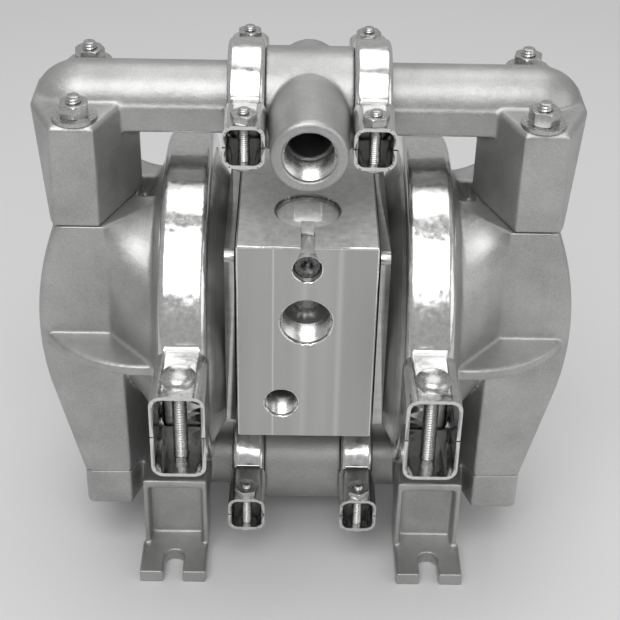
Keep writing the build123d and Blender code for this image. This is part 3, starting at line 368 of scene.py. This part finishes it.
def selectOnly(piece):
    bpy.ops.object.select_all(action="DESELECT")
    piece.hide_set(False)
    piece.select_set(True)
    bpy.context.view_layer.objects.active = piece


def applyAll(piece):
    selectOnly(piece)
    for modifier in list(piece.modifiers):
        bpy.ops.object.modifier_apply(modifier=modifier.name)


mergeDistance = 0.00001


def copyNode(nodeName, pieceName):
    source = nodes[nodeName]
    piece = source.copy()
    piece.data = source.data.copy()
    piece.name = pieceName
    for key in list(piece.keys()):
        if key.startswith("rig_"):
            del piece[key]
    piece.parent = None
    piece.matrix_world = Matrix.Identity(4)
    scene.collection.objects.link(piece)
    selectOnly(piece)
    bpy.ops.object.mode_set(mode="EDIT")
    bpy.ops.mesh.select_all(action="SELECT")
    bpy.ops.mesh.remove_doubles(threshold=mergeDistance)
    bpy.ops.object.mode_set(mode="OBJECT")
    return piece


def settle(piece, body, slot, *stoodFor):
    dress(piece, slot)
    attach(piece, body)
    if stoodFor:
        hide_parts(*stoodFor)


# Castings: copies of the solids with the soft edges and corners of a sand casting
castings = {
    "voxel": 0.0008,
    "rounding": 7,
    "teeRounding": 3,
    "pull": 0.5,
    "keep": 0.5,
    "names": (
        "liquid_chamber_right", "liquid_chamber_left", "discharge_elbow_right", "discharge_elbow_left",
        "inlet_elbow_right", "inlet_elbow_left", "discharge_tee", "inlet_tee",
    ),
}
for name in castings["names"]:
    piece = copyNode(name, name + "_casting")
    remesh = piece.modifiers.new("remesh", "REMESH")
    remesh.mode = "VOXEL"
    remesh.voxel_size = castings["voxel"]
    smooth = piece.modifiers.new("smooth", "SMOOTH")
    smooth.factor = castings["pull"]
    smooth.iterations = castings["teeRounding"] if "tee" in name else castings["rounding"]
    thin = piece.modifiers.new("thin", "DECIMATE")
    thin.ratio = castings["keep"]
    applyAll(piece)
    bpy.ops.object.shade_smooth()
    settle(piece, "pump", "cast_metal", name)
    print(name, "rounded,", len(piece.data.polygons), "faces")

# Clean copies of turned, milled and bent pieces, so their curved faces shade smoothly
smoothPieces = {
    "angle": 32,
    "names": (
        "center_block", "air_chamber_right", "air_chamber_left", "valve_end_cap_top", "valve_end_cap_bottom",
        "port_plug", "valve_snap_rings", "tie_stud_washers", "large_clamp_upper_right",
        "large_clamp_upper_left", "large_clamp_lower_right", "large_clamp_lower_left",
        "discharge_clamp_upper_right", "discharge_clamp_upper_left", "discharge_clamp_lower_right",
        "discharge_clamp_lower_left", "inlet_clamp_upper_right", "inlet_clamp_upper_left",
        "inlet_clamp_lower_right", "inlet_clamp_lower_left",
    ),
}
# The block's top is milled and coloured lighter, as painted light from above, and the chamfers round its
# front and rear are coloured bright, as a painted edge highlight.
# Faces are told apart by the upward part of their normal, and by its part to the front or rear
blockFaces = {"top": 0.95, "chamferLow": 0.5, "chamferHigh": 0.85}


def dressBlock(piece):
    piece.data.materials.append(chamferHighlightFinish)
    piece.data.materials.append(topLitFinish)
    for face in piece.data.polygons:
        if face.normal.z > blockFaces["top"]:
            # painted light on the up-facing top faces
            face.material_index = 2
        elif blockFaces["chamferLow"] < abs(face.normal.y) < blockFaces["chamferHigh"]:
            # painted edge highlight on the front and rear chamfers
            face.material_index = 1


for name in smoothPieces["names"]:
    piece = copyNode(name, name + "_finished")
    bpy.ops.object.shade_smooth_by_angle(angle=math.radians(smoothPieces["angle"]))
    evening = piece.modifiers.new("evening", "WEIGHTED_NORMAL")
    evening.keep_sharp = True
    applyAll(piece)
    settle(piece, "pump", slotOf[name], name)
    if name == "port_plug":
        piece.data.materials[0] = plugFinish
    if name == "center_block":
        dressBlock(piece)
print("turned and bent pieces smoothed")


def joinAll(pieces, name):
    bpy.ops.object.select_all(action="DESELECT")
    for piece in pieces:
        piece.select_set(True)
    bpy.context.view_layer.objects.active = pieces[0]
    bpy.ops.object.join()
    joined = bpy.context.object
    joined.name = name
    bpy.ops.object.transform_apply(location=True, rotation=True, scale=True)
    return joined


def bevelEdges(piece, width, segments, angle=30):
    bevel = piece.modifiers.new("bevel", "BEVEL")
    bevel.width = width
    bevel.segments = segments
    bevel.limit_method = "ANGLE"
    bevel.angle_limit = math.radians(angle)
    applyAll(piece)


def uprightCylinder(vertices, radius, low, high):
    bpy.ops.object.select_all(action="DESELECT")
    bpy.ops.mesh.primitive_cylinder_add(
        vertices=vertices, radius=radius, depth=high - low, location=(0, 0, (low + high) / 2)
    )
    bpy.ops.object.transform_apply(location=True, rotation=False, scale=False)
    return bpy.context.object


# Shares of the pitch: half height of a ridge, and how far in from a rod's end or a port's mouth it starts.
# Steps are those of one turn
threadShape = {"flank": 0.48, "rodStart": 0.6, "portStart": 1.3, "rodSteps": 20, "portSteps": 48}


# A helical ridge of four-cornered section, to stand out of a rod's core or a port's wall
def threadRidge(radius, depth, pitch, low, turns, steps):
    bpy.ops.object.select_all(action="DESELECT")
    bpy.ops.mesh.primitive_plane_add(size=math.sqrt(2), rotation=(math.pi / 2, math.pi / 4, 0))
    ridge = bpy.context.object
    bpy.ops.object.transform_apply(location=False, rotation=True, scale=False)
    ridge.scale = (depth, 1, pitch * threadShape["flank"])
    ridge.location = (radius, 0, low)
    bpy.ops.object.transform_apply(location=True, rotation=False, scale=True)
    bpy.ops.object.mode_set(mode="EDIT")
    bpy.ops.mesh.select_all(action="SELECT")
    bpy.ops.mesh.delete(type="ONLY_FACE")
    bpy.ops.object.mode_set(mode="OBJECT")
    winding = ridge.modifiers.new("winding", "SCREW")
    winding.steps = steps
    winding.render_steps = steps
    winding.screw_offset = pitch
    winding.iterations = turns
    winding.use_smooth_shade = False
    applyAll(ridge)
    bpy.ops.object.mode_set(mode="EDIT")
    bpy.ops.mesh.select_all(action="SELECT")
    bpy.ops.mesh.fill_holes(sides=4)
    bpy.ops.mesh.select_all(action="SELECT")
    bpy.ops.mesh.normals_make_consistent(inside=False)
    bpy.ops.object.mode_set(mode="OBJECT")
    return ridge


# Shares of a rod's radius: its core, the foot and height of the thread on it, and its bevelled ends
rodShape = {"core": 0.86, "threadFoot": 0.84, "threadHeight": 0.16, "bevel": 0.2, "vertices": 32}


def rodCore(settings):
    radius = settings["radius"]
    rod = uprightCylinder(rodShape["vertices"], radius * rodShape["core"], settings["low"], settings["high"])
    bevelEdges(rod, radius * rodShape["bevel"], 2)
    bpy.ops.object.shade_smooth_by_angle(angle=math.radians(40))
    return rod


def rodThread(settings, low, turns):
    radius = settings["radius"]
    return threadRidge(
        radius * rodShape["threadFoot"], radius * rodShape["threadHeight"], settings["pitch"],
        low, turns, threadShape["rodSteps"],
    )


# Head of a carriage bolt: a dome on a low rim, both shares of its height
headShape = {"dome": 0.92, "rim": 0.08, "cut": 0.01, "segments": 40, "rings": 20}


def domedHead(radius, height, floorHeight):
    bpy.ops.object.select_all(action="DESELECT")
    bpy.ops.mesh.primitive_uv_sphere_add(
        segments=headShape["segments"], ring_count=headShape["rings"], radius=1
    )
    head = bpy.context.object
    bpy.ops.object.mode_set(mode="EDIT")
    bpy.ops.mesh.select_all(action="SELECT")
    bpy.ops.mesh.bisect(
        plane_co=(0, 0, headShape["cut"]), plane_no=(0, 0, 1), clear_inner=True, use_fill=True
    )
    bpy.ops.object.mode_set(mode="OBJECT")
    head.scale = (radius, radius, height * headShape["dome"])
    head.location = (0, 0, floorHeight + height * headShape["rim"])
    bpy.ops.object.transform_apply(location=True, rotation=False, scale=True)
    bpy.ops.object.mode_set(mode="EDIT")
    bpy.ops.mesh.select_mode(type="FACE")
    bpy.ops.mesh.select_all(action="DESELECT")
    bpy.ops.object.mode_set(mode="OBJECT")
    for face in head.data.polygons:
        face.select = face.normal.z < -0.9  # the flat face under the dome
    bpy.ops.object.mode_set(mode="EDIT")
    bpy.ops.mesh.extrude_region_move(TRANSFORM_OT_translate={"value": (0, 0, -height * headShape["rim"])})
    bpy.ops.mesh.select_all(action="SELECT")
    bpy.ops.mesh.normals_make_consistent(inside=False)
    bpy.ops.object.mode_set(mode="OBJECT")
    bpy.ops.object.shade_smooth_by_angle(angle=math.radians(50))
    return head


# A six-sided bar is cut to the round of a bevelled disc and bored through
def hexNut(settings):
    flats = settings["nutFlats"]
    corners = flats / math.sqrt(3)
    low = settings["nutFloor"]
    high = low + settings["nutHeight"]
    spare = settings["nutHeight"] / 2
    nut = uprightCylinder(6, corners, low, high)
    turned = uprightCylinder(48, corners, low, high)
    bevelEdges(turned, corners - flats / 2, 3)
    bore = uprightCylinder(32, settings["radius"], low - spare, high + spare)
    for other, operation in ((turned, "INTERSECT"), (bore, "DIFFERENCE")):
        cut = nut.modifiers.new("cut", "BOOLEAN")
        cut.object = other
        cut.operation = operation
        cut.solver = "EXACT"
        applyAll(nut)
        bpy.data.objects.remove(other)
    bevelEdges(nut, flats * 0.012, 2, 40)
    bpy.ops.object.shade_smooth_by_angle(angle=math.radians(35))
    return nut


# Copies one finished model to each of its places, each copy with its own mesh
def placeCopies(model, places, name, turnOver=False, spins=(0,)):
    copies = []
    for number, place in enumerate(places):
        piece = model.copy()
        piece.data = model.data.copy()
        scene.collection.objects.link(piece)
        piece.location = place
        piece.rotation_euler = (math.pi if turnOver else 0, 0, spins[number % len(spins)])
        copies.append(piece)
    bpy.data.objects.remove(model)
    return joinAll(copies, name)


# Carriage bolts and nuts of the clamp bands; heights are measured from each joint, spins in radians
largeBolt = {
    "radius": 0.00305, "headRadius": 0.0072, "headHeight": 0.004, "pitch": 0.00127,
    "low": -0.0286, "high": 0.02, "nutFlats": 0.0111, "nutHeight": 0.0056, "nutFloor": -0.0256,
    "places": [(x, y, 0.1225) for x in (-0.0505, 0.0505) for y in (-0.0892, 0.0892)],
    "headDown": False, "boltSpins": (0.2, 1.1, 0.7, 1.6), "nutSpins": (0.15, 0.6, 0.35, 0.9),
}
smallBolt = {
    "radius": 0.0024, "headRadius": 0.0056, "headHeight": 0.0028, "pitch": 0.0009,
    "low": -0.0147, "high": 0.0093, "nutFlats": 0.0095, "nutHeight": 0.0034, "nutFloor": 0.0093,
    "places": [(x, y, z) for x in (-0.0258, 0.0258) for y in (-0.0401, 0.0401) for z in (0.222, 0.031)],
    "headDown": True, "boltSpins": (0.2, 1.1, 0.7), "nutSpins": (0.3, 0.75, 0.1),
}


def boltModel(settings):
    pitch = settings["pitch"]
    turns = int((settings["high"] - settings["low"] - pitch) / pitch)
    rod = rodCore(settings)
    ridge = rodThread(settings, settings["low"] + pitch * threadShape["rodStart"], turns)
    head = domedHead(settings["headRadius"], settings["headHeight"], settings["high"])
    return joinAll([head, rod, ridge], "bolt")


for size, settings in (("large", largeBolt), ("small", smallBolt)):
    bolts = placeCopies(
        boltModel(settings), settings["places"], size + "_bolts", settings["headDown"], settings["boltSpins"]
    )
    settle(bolts, "pump", "fastener_steel", size + "_clamp_bolts")
    nuts = placeCopies(hexNut(settings), settings["places"], size + "_nuts", False, settings["nutSpins"])
    settle(nuts, "pump", "fastener_steel", size + "_clamp_nuts")

# Tie studs, threaded at the top, with their nuts
tieStud = {
    "radius": 0.0031, "low": 0.033, "high": 0.235, "pitch": 0.00127, "threadLength": 0.013,
    "nutFlats": 0.0111, "nutHeight": 0.0056, "nutFloor": 0.2266, "nutSpins": (0.1, 0.5, 0.25, 0.8),
    "places": [(x, y, 0) for x in (-0.0935, 0.0935) for y in (-0.0277, 0.0245)],
}


def studModel(settings):
    pitch = settings["pitch"]
    ridgeLow = settings["high"] - settings["threadLength"] - pitch * threadShape["rodStart"]
    rod = rodCore(settings)
    ridge = rodThread(settings, ridgeLow, int(settings["threadLength"] / pitch))
    return joinAll([rod, ridge], "stud")


studs = placeCopies(studModel(tieStud), tieStud["places"], "threaded_studs")
settle(studs, "pump", "fastener_steel", "tie_studs")
nuts = placeCopies(hexNut(tieStud), tieStud["places"], "stud_nuts", False, tieStud["nutSpins"])
settle(nuts, "pump", "fastener_steel", "tie_stud_nuts")
print("bolts, studs and nuts made")

# Pipe threads cut in the ports: the bore, the depth of the cut and the pitch of each size
halfInchThread = {"radius": 0.01067, "cut": 0.00078, "pitch": 0.0018}
quarterInchThread = {"radius": 0.00686, "cut": 0.0006, "pitch": 0.0014}
portThreads = {
    "outlet_thread": {
        "mouth": (0, -0.0535, 0.222), "inward": 1, "length": 0.016, "slot": "cast_metal",
        "size": halfInchThread,
    },
    "inlet_thread": {
        "mouth": (0, 0.0535, 0.031), "inward": -1, "length": 0.016, "slot": "cast_metal",
        "size": halfInchThread,
    },
    "exhaust_thread": {
        "mouth": (0, -0.0595, 0.1492), "inward": 1, "length": 0.0135, "slot": "block_metal",
        "size": halfInchThread,
    },
    "air_inlet_thread": {
        "mouth": (-0.01, -0.0595, 0.1075), "inward": 1, "length": 0.0125, "slot": "block_metal",
        "size": quarterInchThread,
    },
}
for name, port in portThreads.items():
    size = port["size"]
    thread = threadRidge(
        size["radius"], size["cut"], size["pitch"], size["pitch"] * threadShape["portStart"],
        int(port["length"] / size["pitch"]), threadShape["portSteps"],
    )
    thread.name = name
    thread.rotation_euler = (-math.pi / 2 * port["inward"], 0, 0)
    thread.location = port["mouth"]
    selectOnly(thread)
    bpy.ops.object.transform_apply(location=True, rotation=True, scale=True)
    bpy.ops.object.shade_smooth_by_angle(angle=math.radians(30))
    settle(thread, "pump", port["slot"])
    thread.data.materials[0] = threadFinish
print("port threads made")
